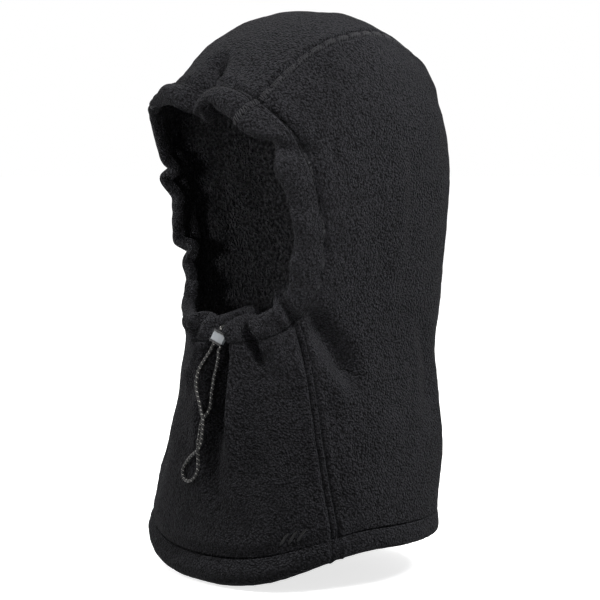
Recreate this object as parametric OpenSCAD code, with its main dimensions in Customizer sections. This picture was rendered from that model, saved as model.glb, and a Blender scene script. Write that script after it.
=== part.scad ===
// Fleece hood balaclava with a drawcord and a cord lock at the chin.
// +Z is up, the face looks towards -Y and +X is the wearer's left.
// The origin is the centre of the neck opening, level with the lowest point of the front hem.
// Lengths are in millimetres.

/* [Hood] */
// Height from the front hem to the top of the crown
hood_h = 416; // [400:1:432]
// Width across the temples
head_w = 180; // [172:1:188]
// Depth from the brow to the back of the head
head_d = 233; // [224:1:242]
// Thickness of the fleece
cloth_t = 2.6; // [2:0.1:3]
// Width of the turned hem at the neck
hem_w = 20; // [16:1:24]

/* [Face opening] */
// Width of the opening between its folded edges
face_w = 128; // [120:1:132]
// Height of the opening between its folded edges
face_h = 146; // [138:1:150]
// Width of the drawcord tunnel along the sides
tunnel_w = 15; // [14:1:17]
// Depth of the pleat that the drawcord gathers at the chin
pleat_depth = 13; // [10:1:14]

/* [Drawcord] */
// Diameter of the elastic drawcord
cord_d = 2.4; // [2:0.1:2.6]
// Diameter of the sewing thread
thread_d = 0.8; // [0.6:0.1:1]
// Distance between the two needle lines of a seam
needle_gap = 6; // [5:0.5:7]

/* [Cord lock] */
// Width of the lock
lock_w = 13.4; // [13:0.2:14]
// Height of the lock along the cords
lock_h = 9.4; // [9:0.2:10]
// Depth of the lock's body
lock_d = 7.6; // [7.4:0.1:7.8]
// Distance between the two cords in the lock
bore_gap = 7.6; // [7:0.2:8]
// How far the button presses in
button_travel = 1; // [0.8:0.1:1.1]

/* [Hidden] */

cloth_colour = [0.15, 0.15, 0.16];
lining_colour = [0.1, 0.1, 0.11];
thread_colour = [0.06, 0.06, 0.07];
cord_colour = [0.05, 0.05, 0.05];
label_colour = [0.8, 0.8, 0.78];

tall = hood_h / 416;
wide = head_w / 180;
deep = head_d / 233;

// Every level of the hood is a superellipse: height, half width, front y and back y.
roundness = 2.2;
PROFILE = [
    [-5, 120, -96, 88],
    [50, 113, -94, 94],
    [100, 102, -89, 100],
    [145, 89, -83, 109],
    [180, 84, -78, 118],
    [215, 84, -84, 125],
    [260, 88, -95, 129],
    [305, 90, -103, 130],
    [345, 86, -98, 120],
    [380, 71, -73, 97],
    [402, 48, -42, 70],
    [413, 25, -12, 42],
    [416, 0, 14, 16]
];
SCALE = [tall, wide, deep, deep];
level_steps = 12;
top_z = hood_h - 4;

// The hem rises from the front to the back of the neck.
hem_rise_back = 31 * tall;
hem_front_y = -96 * deep;
hem_rise_run = 80 * deep;
hem_reach = 120 * tall;

// The face opening and the stitch line around it are ovals in the front view.
oval_power = 3;
face_z = 266 * tall;
stitch_drop = 1;
stitch_grow = 19;

// The chin pleat is a valley between two lobes.
pleat_x = 8;
pleat_half = 9;
lobe_off = 18;
lobe_half = 10;
lobe_out = 4;
pleat_low_z = 60 * tall;
pleat_full_z = 150 * tall;
pleat_top_z = 205 * tall;
pleat_end_z = 235 * tall;

// The crown panel is laid out by the angle about an axis inside the head, from the brow over
// the top (90) to the back (180), with its half width at each angle.
axis_y = 10;
axis_z = 215 * tall;
brow_half = 47 * wide;
CROWN_HALF = [
    [54, 47], [58, 50.5], [62, 53], [69, 56], [77, 57.5], [85, 57], [91, 55], [97, 51.5],
    [105, 48], [120, 44], [140, 40], [160, 37.5], [180, 36], [200, 37], [214, 38]
];
NAPE_HALF = [[20, 46], [70, 42], [110, 39.5], [150, 38]];
nape_z = 150 * tall;
crown_steps = 44;
nape_rows = [130, 110, 90, 70, 50, 35];

// The front seam runs from the tunnel's stitch line to the neck hem: height and x.
FRONT_SEAM = [[0, 103], [28, 100.3], [46, 97], [66, 92.5], [91, 86.5], [115, 80], [135, 74],
    [157, 68], [174, 63.5], [184, 61], [189, 60]];
front_seam_top = 189 * tall;

// Angles of the sections around the face opening, closer together at the two buttonholes.
hole_a = 271.5;
hole_b = 277;
hole_span = 2.5;
FACE_ANGLES = [
    each [0 : 6 : 246], each [250 : 3 : 268],
    hole_a, hole_a + hole_span, 275.5, hole_b, hole_b + hole_span,
    each [282 : 3 : 297], each [300 : 6 : 354]
];
tunnel_gap = cord_d + 1;
tunnel_depth = 2 * cloth_t + tunnel_gap;
cord_depth = cloth_t + tunnel_gap / 2;
cord_lane = 0.6;
lap = 0.3;

// The lock's place at rest, its turn, and its inner sizes.
lock_at = [7.8, -80.5, 178];
lock_turn = [-21, 16, 0];
lock_wall = 1.4;
lock_round = 1.6;
bore_r = cord_d / 2 + 0.25;
play = 0.15;
head_t = 2.4;
stem_w = 4.4;
stem_d = 1.6;
cheek_d = 3.4;
pocket_floor = 1;
spring_d = 2.2;
spring_wire = 0.3;
spring_turns = 3;

// The loop's middle line from the lock's left bore to its right bore.
LOOP = [
    [-2, -84, 166], [-5.5, -85, 161], [-8, -86.5, 156.5], [-9.5, -88.5, 149], [-9.5, -89, 142],
    [-8, -89.5, 137], [-6, -89.5, 132], [-4.5, -89.5, 127], [-2, -90.5, 123.5],
    [0.5, -91.5, 120], [0, -91, 115], [-1, -91.5, 106], [-1, -93, 100], [-2, -95, 96],
    [-6.5, -94.5, 93.5], [-12, -93.5, 90], [-17, -92.5, 85.5], [-20.5, -92.5, 81],
    [-20.5, -93, 76], [-17, -94, 73], [-12, -94.5, 72.5], [-7.5, -94.5, 74.5], [-4.5, -94, 78.5],
    [-3, -93.5, 83], [-3.5, -93, 88], [-4, -92.5, 92.5], [-5, -91.5, 101], [-4.5, -91, 106],
    [-4, -89.5, 115], [-2.5, -88.5, 119.5], [-0.5, -86.5, 123], [0.5, -84.5, 127.5],
    [0.5, -83, 138], [1, -82, 144], [2, -82, 149], [4.5, -82, 155.5], [6.5, -82.5, 160.5],
    [9, -83.5, 166]
];

function mix(a, b, t) = a + (b - a) * t;
function ease(t) = let (u = min(1, max(0, t))) u * u * (3 - 2 * u);
function hump(t) = exp(-t * t);
function signed_power(v, e) = sign(v) * pow(abs(v), e);
function unit(v) = v / norm(v);

// ---- the hood's surface -----------------------------------------------------------------

function slope(i, k) =
    let (lo = max(i - 1, 0), hi = min(i + 1, len(PROFILE) - 1))
    (PROFILE[hi][k] - PROFILE[lo][k]) / (hi - lo);
function spline(i, k, t) =
    PROFILE[i][k] * (2 * t ^ 3 - 3 * t ^ 2 + 1) + PROFILE[i + 1][k] * (3 * t ^ 2 - 2 * t ^ 3)
    + slope(i, k) * (t ^ 3 - 2 * t ^ 2 + t) + slope(i + 1, k) * (t ^ 3 - t ^ 2);
LEVELS = [
    for (i = [0 : len(PROFILE) - 2], j = [0 : level_steps - 1])
        [for (k = [0 : 3]) spline(i, k, j / level_steps) * SCALE[k]]
];
HALF_WIDTHS = [for (l = LEVELS) [l[0], l[1]]];
FRONTS = [for (l = LEVELS) [l[0], l[2]]];
BACKS = [for (l = LEVELS) [l[0], l[3]]];
function half_w(z) = lookup(z, HALF_WIDTHS);
function mid_y(z) = (lookup(z, FRONTS) + lookup(z, BACKS)) / 2;
function half_d(z) = (lookup(z, BACKS) - lookup(z, FRONTS)) / 2;

// How far the cloth is pushed in at the chin.
function pleat(x, z) =
    let (fade = ease((z - pleat_low_z) / (pleat_full_z - pleat_low_z))
            * ease((pleat_end_z - z) / (pleat_end_z - pleat_top_z)),
        u = x - pleat_x)
    fade * (pleat_depth * hump(u / pleat_half)
        - lobe_out * (hump((u - lobe_off) / lobe_half) + hump((u + lobe_off) / lobe_half)));

// A point at an angle from the front (90 is the wearer's left) and a height.
function skin(th, z) =
    let (x = half_w(z) * signed_power(sin(th), 2 / roundness),
        y = mid_y(z) - half_d(z) * signed_power(cos(th), 2 / roundness))
    [x, y + max(0, cos(th)) * pleat(x, z), z];
// The angle at which the front or the back of the hood has a given x.
function front_angle(x, z) = asin(signed_power(x / half_w(z), roundness / 2));
function back_angle(x, z) = (x < 0 ? -180 : 180) - front_angle(x, z);
function on_front(x, z) = skin(front_angle(x, z), z);

function hem_rise(y) =
    let (t = min(1, max(0, (y - hem_front_y) / hem_rise_run)))
    hem_rise_back * pow(1 - pow(1 - t, 2.6), 1.35);
// The same by the height above the hem, which rises towards the back.
function skirt(th, h) = skin(th, h + max(0, 1 - h / hem_reach) * hem_rise(skin(th, h).y));

// ---- lines on the surface ---------------------------------------------------------------

// The oval around the face at a share of the tunnel's width, 0 at the fold and 1 at the stitches.
function oval_r(a, q) =
    let (rx = face_w / 2 + tunnel_w * q, rz = face_h / 2 + stitch_grow * q)
    pow(pow(abs(cos(a)) / rx, oval_power) + pow(abs(sin(a)) / rz, oval_power), -1 / oval_power);
function oval(a, q) =
    let (r = oval_r(a, q))
    on_front(r * cos(a), face_z - stitch_drop * q + r * sin(a));
function stitch_x(z) =
    let (u = abs(z - face_z + stitch_drop) / (face_h / 2 + stitch_grow))
    (face_w / 2 + tunnel_w) * pow(max(0, 1 - pow(u, oval_power)), 1 / oval_power);
function stitch_z(x, side) =
    let (u = abs(x) / (face_w / 2 + tunnel_w))
    face_z - stitch_drop + side * (face_h / 2 + stitch_grow)
        * pow(1 - pow(u, oval_power), 1 / oval_power);

// How full a point is: 1 on the surface and less inside.
function fullness(x, y, z) =
    pow(abs(x) / half_w(z), roundness) + pow(abs(y - mid_y(z)) / half_d(z), roundness);
function reach(x, a, lo, hi, n) =
    let (m = (lo + hi) / 2, y = axis_y - m * cos(a), z = axis_z + m * sin(a))
    n == 0 ? m
    : z > hood_h - 0.1 || fullness(x, y, z) > 1 ? reach(x, a, lo, m, n - 1)
    : reach(x, a, m, hi, n - 1);
// The surface point at an x and an angle about the crown panel's axis.
function over(x, a) = let (m = reach(x, a, 30, 260, 20)) [x, axis_y - m * cos(a), axis_z + m * sin(a)];
function angle_of(p) = 180 - atan2(p.z - axis_z, p.y - axis_y);

brow_angle = angle_of(on_front(brow_half, stitch_z(brow_half, 1)));
nape_angle = angle_of(skin(back_angle(38 * wide, nape_z), nape_z));
function crown_angle(x, r) =
    let (first = angle_of(on_front(x, stitch_z(x, 1))), last = angle_of(skin(back_angle(x, nape_z), nape_z)))
    mix(first, last, r);
function crown_half(r) = lookup(mix(brow_angle, nape_angle, r), CROWN_HALF) * wide;
// A point of the crown panel: its share of the way back, its side (-1 to 1) and a step sideways.
function crown_point(r, s, aside) =
    let (x = s * crown_half(r) + aside) over(x, crown_angle(s * crown_half(r), r));
CROWN_SEAM = [for (i = [0 : 2 * crown_steps]) crown_point(i / (2 * crown_steps), 1, 0)];
seam_top_z = max([for (p = CROWN_SEAM) p.z]);
seam_top_y = [for (p = CROWN_SEAM) if (p.z == seam_top_z) p.y][0];
SEAM_RISE = [for (p = CROWN_SEAM) if (p.y <= seam_top_y) [p.z, p.x]];
SEAM_FALL = [for (p = CROWN_SEAM) if (p.y >= seam_top_y) [p.z, p.x]];

function front_seam_x(h) = lookup(h / tall, FRONT_SEAM) * wide;
function nape_half(h) = lookup(h / tall, NAPE_HALF) * wide;
function side_front_x(z) =
    z < front_seam_top ? front_seam_x(z)
    : z < stitch_z(brow_half, 1) ? stitch_x(z) : lookup(z, SEAM_RISE);
function side_back_x(z) = z < nape_z ? nape_half(z) : lookup(z, SEAM_FALL);

// ---- solids from rows of points ---------------------------------------------------------

function quad(a, b, c, d) = [[a, b, c], [a, c, d]];
function row_normal(g, i, j) =
    let (n = len(g) - 1, m = len(g[0]) - 1)
    unit(cross(g[min(i + 1, n)][j] - g[max(i - 1, 0)][j], g[i][min(j + 1, m)] - g[i][max(j - 1, 0)]));
// A sheet whose outer face goes through rows of points; rows go up and points go to the right.
module sheet(g, t) {
    rows = len(g);
    cols = len(g[0]);
    inner = [for (i = [0 : rows - 1], j = [0 : cols - 1]) g[i][j] + t * row_normal(g, i, j)];
    n = rows * cols;
    rim = concat(
        [for (j = [0 : cols - 2]) j],
        [for (i = [0 : rows - 2]) i * cols + cols - 1],
        [for (j = [cols - 1 : -1 : 1]) (rows - 1) * cols + j],
        [for (i = [rows - 1 : -1 : 1]) i * cols]);
    polyhedron(
        points = concat([for (r = g) each r], inner),
        faces = concat(
            [for (i = [0 : rows - 2], j = [0 : cols - 2])
                each quad(i * cols + j, (i + 1) * cols + j, (i + 1) * cols + j + 1, i * cols + j + 1)],
            [for (i = [0 : rows - 2], j = [0 : cols - 2])
                each quad(n + i * cols + j, n + i * cols + j + 1, n + (i + 1) * cols + j + 1,
                    n + (i + 1) * cols + j)],
            [for (k = [0 : len(rim) - 1]) let (a = rim[k], b = rim[(k + 1) % len(rim)])
                each quad(a, b, n + b, n + a)]));
}

// A closed band through sections of equal length. A hole leaves out the faces between two points
// of a section and the two points opposite, over one step of the sections.
module band(sections, holes = [], outer = 0, inner = 0) {
    n = len(sections);
    m = len(sections[0]);
    function at(i, j) = (i % n) * m + j % m;
    function is_open(i, j) = len([for (h = holes) if (h == i && (j == outer || j == inner)) h]) > 0;
    polyhedron(
        points = [for (s = sections) each s],
        faces = concat(
            [for (i = [0 : n - 1], j = [0 : m - 1]) if (!is_open(i, j))
                each quad(at(i, j), at(i, j + 1), at(i + 1, j + 1), at(i + 1, j))],
            [for (i = holes) each concat(
                quad(at(i, outer), at(i, outer + 1), at(i, inner), at(i, inner + 1)),
                quad(at(i + 1, outer), at(i + 1, inner + 1), at(i + 1, inner), at(i + 1, outer + 1)),
                quad(at(i, outer), at(i, inner + 1), at(i + 1, inner + 1), at(i + 1, outer)),
                quad(at(i, outer + 1), at(i + 1, outer + 1), at(i + 1, inner), at(i, inner)))]));
}

// A round tube along points, closed into a ring if asked.
module tube(line, d, sides = 6, ring = false) {
    n = len(line);
    function next(i) = ring ? line[(i + 1) % n] : line[min(i + 1, n - 1)];
    function last(i) = ring ? line[(i + n - 1) % n] : line[max(i - 1, 0)];
    function around(i) =
        let (t = unit(next(i) - last(i)), u = unit(cross(t, [0.1, 1, 0.05])), v = cross(t, u))
        [for (k = [0 : sides - 1]) let (a = 360 * k / sides) line[i] + d / 2 * (cos(a) * u + sin(a) * v)];
    points = [for (i = [0 : n - 1]) each around(i)];
    function at(i, k) = (i % n) * sides + k % sides;
    polyhedron(
        points = points,
        faces = concat(
            [for (i = [0 : ring ? n - 1 : n - 2], k = [0 : sides - 1])
                each quad(at(i, k), at(i + 1, k), at(i + 1, k + 1), at(i, k + 1))],
            ring ? [] : [[for (k = [0 : sides - 1]) k], [for (k = [sides - 1 : -1 : 0]) at(n - 1, k)]]));
}

// ---- fleece panels ----------------------------------------------------------------------

module crown_panel() {
    cols = [-1 : 0.25 : 1];
    rows = [
        for (i = [0 : crown_steps]) [for (s = cols) crown_point(i / crown_steps, s, 0)],
        for (h = [each nape_rows, hem_w]) [for (s = cols) skirt(back_angle(s * nape_half(h), h), h)]
    ];
    color(cloth_colour) sheet(rows, cloth_t);
}

module side_panel() {
    heights = [hem_w, 36, 54, 75, 97, 120, 141, 160, front_seam_top, 202, 220, 240, 260, 280, 300, 318,
        335, stitch_z(brow_half, 1), 361, 371, 380, 387, 392.5, seam_top_z - 2.4, seam_top_z - 0.4];
    steps = 18;
    rows = [for (z = heights)
        let (a = front_angle(side_front_x(z), z), b = back_angle(side_back_x(z), z))
        [for (k = [0 : steps]) skirt(mix(a, b, k / steps), z)]];
    color(cloth_colour) sheet(rows, cloth_t);
}

module front_panel() {
    steps = 28;
    rows = 16;
    grid = [for (i = [0 : rows])
        [for (k = [0 : steps])
            let (s = 2 * k / steps - 1, top = stitch_z(front_seam_x(front_seam_top) * s, -1),
                h = mix(hem_w, top, i / rows), side = mix(hem_w, front_seam_top, i / rows))
            skirt(s * front_angle(front_seam_x(side), side), h)]];
    color(cloth_colour) sheet(grid, cloth_t);
}

// ---- turned hems ------------------------------------------------------------------------

function face_normal(a, q) = unit(cross(oval(a, q + 0.05) - oval(a, q - 0.05), oval(a + 1, q) - oval(a - 1, q)));
// A point of the tunnel: angle around the face, share of its width and depth under the surface.
function face_point(a, q, d) = oval(a, q) - d * face_normal(a, q);
FACE_SECTION = [
    [1, 0], [0.72, -0.8], [0.5, -1], [0.25, -0.6], [0.07, 1.2], [0, tunnel_depth / 2],
    [0.07, tunnel_depth - 1.4], [0.25, tunnel_depth], [0.5, tunnel_depth], [0.72, tunnel_depth - 0.8],
    [1, 2 * cloth_t + lap], [1, cloth_t + lap], [0.72, tunnel_depth - cloth_t - 0.8],
    [0.5, tunnel_depth - cloth_t], [0.3, tunnel_depth - cloth_t], [0.2, tunnel_depth / 2],
    [0.3, cloth_t - 0.6], [0.5, cloth_t - 1], [0.72, cloth_t - 0.8], [1, cloth_t]
];

module face_hem() {
    holes = [for (i = [0 : len(FACE_ANGLES) - 1]) if (FACE_ANGLES[i] == hole_a || FACE_ANGLES[i] == hole_b) i];
    color(cloth_colour)
        band([for (a = FACE_ANGLES) [for (p = FACE_SECTION) face_point(a, p[0], p[1])]], holes, 1, 17);
}

function skirt_normal(th, h) =
    unit(cross(skirt(th + 1, h) - skirt(th - 1, h), skirt(th, h + 2) - skirt(th, h - 2)));
function skirt_in(th, h, d) = skirt(th, h) - d * skirt_normal(th, h);

module bottom_hem() {
    whole = 2 * cloth_t + lap;
    section = [
        [1, 0], [0.6, -0.5], [0.2, -0.6], [0.05, 0.9], [0, whole / 2], [0.05, whole - 0.9], [0.2, whole],
        [1, whole], [1, whole - cloth_t], [0.25, whole - cloth_t], [0.2, whole / 2], [0.25, cloth_t],
        [1, cloth_t]
    ];
    color(cloth_colour)
        band([for (th = [354 : -6 : 0]) [for (p = section) skirt_in(th, p[0] * hem_w, p[1])]]);
}

// ---- sewing -----------------------------------------------------------------------------

module crown_seam_thread(side) {
    color(thread_colour) for (aside = [-1, 1])
        tube([
            for (i = [0 : crown_steps]) crown_point(i / crown_steps, side, aside * needle_gap / 2),
            for (h = [each nape_rows, hem_w])
                skirt(back_angle(side * nape_half(h) + aside * needle_gap / 2, h), h)
        ], thread_d, 4);
}

module front_seam_thread(side) {
    color(thread_colour) for (aside = [-1, 1])
        tube([for (i = [0 : 16])
            let (h = mix(hem_w, front_seam_top, i / 16))
            skirt(front_angle(side * front_seam_x(h) + aside * needle_gap / 2, h), h)], thread_d, 4);
}

module face_hem_thread() {
    color(thread_colour) for (q = [0.8, 0.96])
        tube([for (a = [0 : 6 : 354]) face_point(a, q, 0.2 - 0.8 * (1 - q))], thread_d, 4, ring = true);
}

module bottom_hem_thread() {
    color(thread_colour) for (h = [hem_w - 1.5, hem_w - 4])
        tube([for (th = [0 : 6 : 354]) skirt(th, h)], thread_d, 4, ring = true);
}

// The worked edge of a buttonhole in the tunnel's outer layer.
module buttonhole(first) {
    edge = 0.5;
    low = first - edge;
    high = first + hole_span + edge;
    corners = [[low, 0.52], [low, 0.7], [first + hole_span / 2, 0.76], [high, 0.7], [high, 0.52],
        [first + hole_span / 2, 0.46]];
    color(thread_colour) tube([for (c = corners) face_point(c[0], c[1], -1.3)], 1.2, 6, ring = true);
}

// Three slanting satin-stitched bars low on the wearer's left.
module embroidered_bars() {
    color(thread_colour) for (k = [0 : 2])
        sheet([for (i = [0 : 4])
            [for (j = [0 : 2])
                let (h = 27 + 2 * i, x = 69 + 5.4 * k + 1.1 * i + 1.3 * j)
                skirt_in(front_angle(x, h), h, -0.7)]], 0.9);
}

module care_label() {
    color(label_colour)
        sheet([for (i = [0 : 4]) [for (j = [0 : 4])
            let (h = 46 + 8 * i, x = 12 - 6 * j)
            skirt_in(back_angle(x, h), h, cloth_t + 0.2)]], 0.5);
}

// ---- drawcord ---------------------------------------------------------------------------

// The cord's way around the tunnel, from one buttonhole to the other.
module face_drawcord() {
    first = hole_b + hole_span / 2;
    last = hole_a + hole_span / 2;
    color(cord_colour) tube([
        face_point(first, cord_lane, -1.6), face_point(first, cord_lane, 1.4),
        face_point(first + 1, cord_lane, 3.4), face_point(first + 3, cord_lane, cord_depth),
        for (a = [285 : 6 : 621]) face_point(a, cord_lane, cord_depth),
        face_point(last + 357, cord_lane, cord_depth), face_point(last + 359, cord_lane, 3.4),
        face_point(last, cord_lane, 1.4), face_point(last, cord_lane, -1.6)
    ], cord_d, 8);
}

// A point of the lock's own frame: x across, y into the cloth and z up along the cords.
function lock_point(p) =
    let (s = sin(lock_turn.x), c = cos(lock_turn.x), u = sin(lock_turn.y), v = cos(lock_turn.y),
        q = [p.x, c * p.y - s * p.z, s * p.y + c * p.z])
    lock_at + [v * q.x + u * q.z, q.y, v * q.z - u * q.x];
module at_lock() {
    translate(lock_at) rotate(lock_turn) children();
}

module cord_strands() {
    color(cord_colour) for (side = [-1, 1]) {
        hole = (side < 0 ? hole_a : hole_b) + hole_span / 2;
        top = lock_point([side * bore_gap / 2, 0, lock_h / 2]);
        above = lock_point([side * bore_gap / 2, 0, lock_h / 2 + 3]);
        out = face_point(hole, cord_lane, -1.6);
        away = face_point(hole, cord_lane, -4.6);
        tube([out, away, mix(away, above, 0.35) + [0, -1, 1], mix(away, above, 0.7) + [0, -0.6, 1],
            above, top], cord_d, 8);
    }
}

module drawcord_loop() {
    left = -bore_gap / 2;
    right = bore_gap / 2;
    color(cord_colour) tube([
        lock_point([left, 0, lock_h / 2]), lock_point([left, 0, -lock_h / 2]),
        lock_point([left, 0, -lock_h / 2 - 4]), each LOOP,
        lock_point([right, 0, -lock_h / 2 - 4]), lock_point([right, 0, -lock_h / 2]),
        lock_point([right, 0, lock_h / 2])
    ], cord_d, 8);
}

// ---- cord lock --------------------------------------------------------------------------

module rounded_slab(w, h, d, r) {
    rotate([90, 0, 0]) linear_extrude(d, center = true) {
        square([w - 2 * r, h], center = true);
        square([w, h - 2 * r], center = true);
        for (x = [-1, 1], z = [-1, 1]) translate([x * (w / 2 - r), z * (h / 2 - r)]) circle(r, $fn = 32);
    }
}

module cord_bores(r, h) {
    for (x = [-1, 1]) translate([x * bore_gap / 2, 0, 0]) cylinder(h = h, r = r, center = true, $fn = 32);
}

// The body is a channel: a back, an upper and a lower lip, and low cheeks at the two sides.
module lock_body() {
    room_h = lock_h - 2 * lock_wall;
    color(cord_colour) at_lock() difference() {
        rounded_slab(lock_w, lock_h, lock_d, lock_round);
        translate([0, -cheek_d, 0]) cube([lock_w + 2, lock_d, room_h], center = true);
        translate([0, -pocket_floor, 0]) cube([stem_w + 2 * play, lock_d, room_h], center = true);
        cord_bores(bore_r, lock_h + 2);
    }
}

// The button's head fills the channel between the lips and its stem runs in the body's pocket,
// between the two cords.
module lock_button() {
    room_h = lock_h - 2 * lock_wall - 2 * play;
    head_y = -lock_d / 2 + cheek_floor() - button_travel - head_t / 2 - play;
    stem_y = head_y + head_t / 2 + stem_d / 2;
    color([0.56, 0.57, 0.59]) at_lock() difference() {
        union() {
            translate([0, head_y, 0]) cube([lock_w - 1, head_t, room_h], center = true);
            translate([0, stem_y, 0]) cube([stem_w, stem_d + 0.02, room_h], center = true);
        }
        for (x = [-1, 1]) translate([x * bore_gap / 2, 0, 0]) {
            cylinder(h = lock_h, r = bore_r, center = true, $fn = 32);
            translate([0, -button_travel, 0]) cylinder(h = lock_h, r = bore_r, center = true, $fn = 32);
            translate([0, -button_travel / 2, 0]) cube([2 * bore_r, button_travel, lock_h], center = true);
        }
    }
}
function cheek_floor() = lock_d - cheek_d;

// Small compression spring between the stem and the body's back.
module lock_spring() {
    back_y = lock_d / 2 - pocket_floor;
    front_y = -lock_d / 2 + cheek_floor() - button_travel - play + stem_d;
    per_turn = 10;
    n = spring_turns * per_turn;
    color([0.7, 0.7, 0.72]) at_lock()
        tube([for (i = [0 : n])
            let (a = 360 * i / per_turn, y = mix(front_y + spring_wire / 2 + 0.05, back_y - spring_wire / 2 - 0.05, i / n))
            [spring_d / 2 * cos(a) - spring_wire / 2, y, spring_d / 2 * sin(a)]], spring_wire, 6);
}

crown_panel();
side_panel();  // side_panel_left
mirror([1, 0, 0]) side_panel();  // side_panel_right
front_panel();
face_hem();
bottom_hem();
crown_seam_thread(1);  // crown_seam_thread_left
crown_seam_thread(-1);  // crown_seam_thread_right
front_seam_thread(1);  // front_seam_thread_left
front_seam_thread(-1);  // front_seam_thread_right
face_hem_thread();
bottom_hem_thread();
buttonhole(hole_b);  // buttonhole_left
buttonhole(hole_a);  // buttonhole_right
embroidered_bars();
care_label();
face_drawcord();
cord_strands();
drawcord_loop();
lock_body();
lock_button();
lock_spring();
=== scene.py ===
"""Looks of the fleece balaclava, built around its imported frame.

Lengths are in millimetres until a mesh is made.
"""
import math

import bpy
import numpy as np
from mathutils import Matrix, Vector


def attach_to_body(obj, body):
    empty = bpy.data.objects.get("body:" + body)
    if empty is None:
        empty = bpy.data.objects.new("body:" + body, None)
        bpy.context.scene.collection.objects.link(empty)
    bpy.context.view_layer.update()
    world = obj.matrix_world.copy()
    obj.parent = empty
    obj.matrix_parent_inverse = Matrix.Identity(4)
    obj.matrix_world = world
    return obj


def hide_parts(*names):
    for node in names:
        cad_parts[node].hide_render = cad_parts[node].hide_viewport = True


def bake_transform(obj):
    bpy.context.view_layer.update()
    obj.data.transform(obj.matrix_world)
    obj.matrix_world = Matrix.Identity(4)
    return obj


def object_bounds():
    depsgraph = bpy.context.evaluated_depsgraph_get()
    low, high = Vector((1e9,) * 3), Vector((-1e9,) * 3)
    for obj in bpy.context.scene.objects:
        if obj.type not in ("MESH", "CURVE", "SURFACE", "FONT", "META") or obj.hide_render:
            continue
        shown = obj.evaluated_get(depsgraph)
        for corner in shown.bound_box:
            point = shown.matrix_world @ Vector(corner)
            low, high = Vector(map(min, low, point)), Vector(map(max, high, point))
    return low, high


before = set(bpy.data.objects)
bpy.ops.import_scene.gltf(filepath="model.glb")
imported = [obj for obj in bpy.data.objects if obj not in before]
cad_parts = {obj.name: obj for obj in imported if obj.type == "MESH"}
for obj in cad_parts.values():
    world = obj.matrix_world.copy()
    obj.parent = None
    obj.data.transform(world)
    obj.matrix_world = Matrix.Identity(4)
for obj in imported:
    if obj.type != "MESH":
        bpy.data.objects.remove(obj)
cad_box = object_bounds()

MM = 0.001
TURN = 2 * math.pi
# The fleece's thickness.
CLOTH = 2.6

# ---- the hood's surface, by the formulas of the CAD source ----

# Height, half width, front y and back y of each level.
PROFILE = np.array([
    (-5, 120, -96, 88), (50, 113, -94, 94), (100, 102, -89, 100), (145, 89, -83, 109),
    (180, 84, -78, 118), (215, 84, -84, 125), (260, 88, -95, 129), (305, 90, -103, 130),
    (345, 86, -98, 120), (380, 71, -73, 97), (402, 48, -42, 70), (413, 25, -12, 42),
    (416, 0, 14, 16)], float)
ROUNDNESS = 2.2
LEVEL_STEPS = 40
AXIS_Y, AXIS_Z, TOP_Z = 10, 215, 416
FACE_W, FACE_H, FACE_Z = 64, 73, 266
TUNNEL_W, TUNNEL_H, STITCH_DROP, OVAL_POWER = 15, 19, 1, 3
HEM_W, HEM_RISE, NAPE_Z, BROW_HALF = 20, 31, 150, 47
PLEAT_X, PLEAT_IN, PLEAT_LIPS = 8, 13, 4
# The crown panel's half width by the angle about the axis, and below the nape by height.
CROWN_HALF = np.array([
    (54, 47), (58, 50.5), (62, 53), (69, 56), (77, 57.5), (85, 57), (91, 55), (97, 51.5),
    (105, 48), (120, 44), (140, 40), (160, 37.5), (180, 36), (200, 37), (214, 38)], float)
NAPE_HALF = np.array([(20, 46), (70, 42), (110, 39.5), (150, 38)], float)
# Height above the hem and x of the front seam.
FRONT_SEAM = np.array([
    (0, 103), (28, 100.3), (46, 97), (66, 92.5), (91, 86.5), (115, 80), (135, 74), (157, 68),
    (174, 63.5), (184, 61), (189, 60)], float)


def ease(t):
    u = np.clip(t, 0, 1)
    return u * u * (3 - 2 * u)


def hump(t):
    return np.exp(-np.square(t))


def signed_power(v, e):
    return np.sign(v) * np.abs(v) ** e


def unit(v):
    return v / np.maximum(np.linalg.norm(v, axis=-1, keepdims=True), 1e-9)


def smooth_path(points, steps):
    """A Catmull-Rom line through 2-D or 3-D points."""
    p = np.array(points, float)
    p = np.vstack([2 * p[0] - p[1], p, 2 * p[-1] - p[-2]])
    t = np.linspace(0, 1, steps, endpoint=False)[:, None]
    rows = [
        0.5 * (2 * b + (c - a) * t + (2 * a - 5 * b + 4 * c - d) * t ** 2
               + (3 * b - a - 3 * c + d) * t ** 3)
        for a, b, c, d in zip(p, p[1:], p[2:], p[3:])]
    return np.vstack(rows + [p[-2:-1]])


LEVELS = smooth_path(PROFILE, LEVEL_STEPS)


def half_w(z):
    return np.maximum(np.interp(z, LEVELS[:, 0], LEVELS[:, 1]), 0.01)


def mid_y(z):
    return np.interp(z, LEVELS[:, 0], (LEVELS[:, 2] + LEVELS[:, 3]) / 2)


def half_d(z):
    return np.interp(z, LEVELS[:, 0], (LEVELS[:, 3] - LEVELS[:, 2]) / 2)


def pleat(x, z):
    """How far the cloth is pushed in at the chin, with a lip at each side."""
    fade = ease((z - 60) / 90) * ease((235 - z) / 30)
    u = x - PLEAT_X
    lips = hump((u - 18) / 10) + hump((u + 18) / 10)
    return fade * (PLEAT_IN * hump(u / 9) - PLEAT_LIPS * lips)


def skin(th, z):
    """A point of the unpleated surface, at an angle from the front and a height."""
    th, z = np.broadcast_arrays(np.radians(np.asarray(th, float)), np.asarray(z, float))
    x = half_w(z) * signed_power(np.sin(th), 2 / ROUNDNESS)
    y = mid_y(z) - half_d(z) * signed_power(np.cos(th), 2 / ROUNDNESS)
    return np.stack([x, y, z], -1)


def front_angle(x, z):
    return np.degrees(np.arcsin(np.clip(signed_power(x / half_w(z), ROUNDNESS / 2), -1, 1)))


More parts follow.
